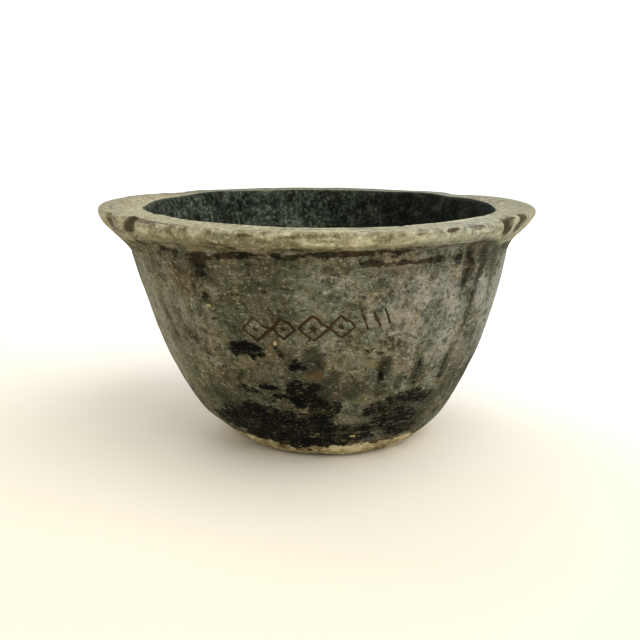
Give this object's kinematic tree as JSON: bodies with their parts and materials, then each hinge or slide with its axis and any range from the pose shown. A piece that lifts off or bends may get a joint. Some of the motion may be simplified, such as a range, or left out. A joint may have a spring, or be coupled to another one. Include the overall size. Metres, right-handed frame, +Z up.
{
  "type": "molcajete",
  "caption": "Hand-carved stone mortar bowl with a thick rim flange, fluted side lugs and a small flat base.",
  "frame": {"origin": "middle of the outer box at the level of the surface that the bowl stands on", "axes": "+Z up out of the mouth, +X through the lugs, -Y towards the side with the scratched marks"},
  "size_m": [0.24, 0.238, 0.132],
  "materials": {
    "stone": "weathered, sooty, satin where handled"
  },
  "bodies": {
    "root": {"mortar_bowl": "stone"}
  },
  "joints": []
}
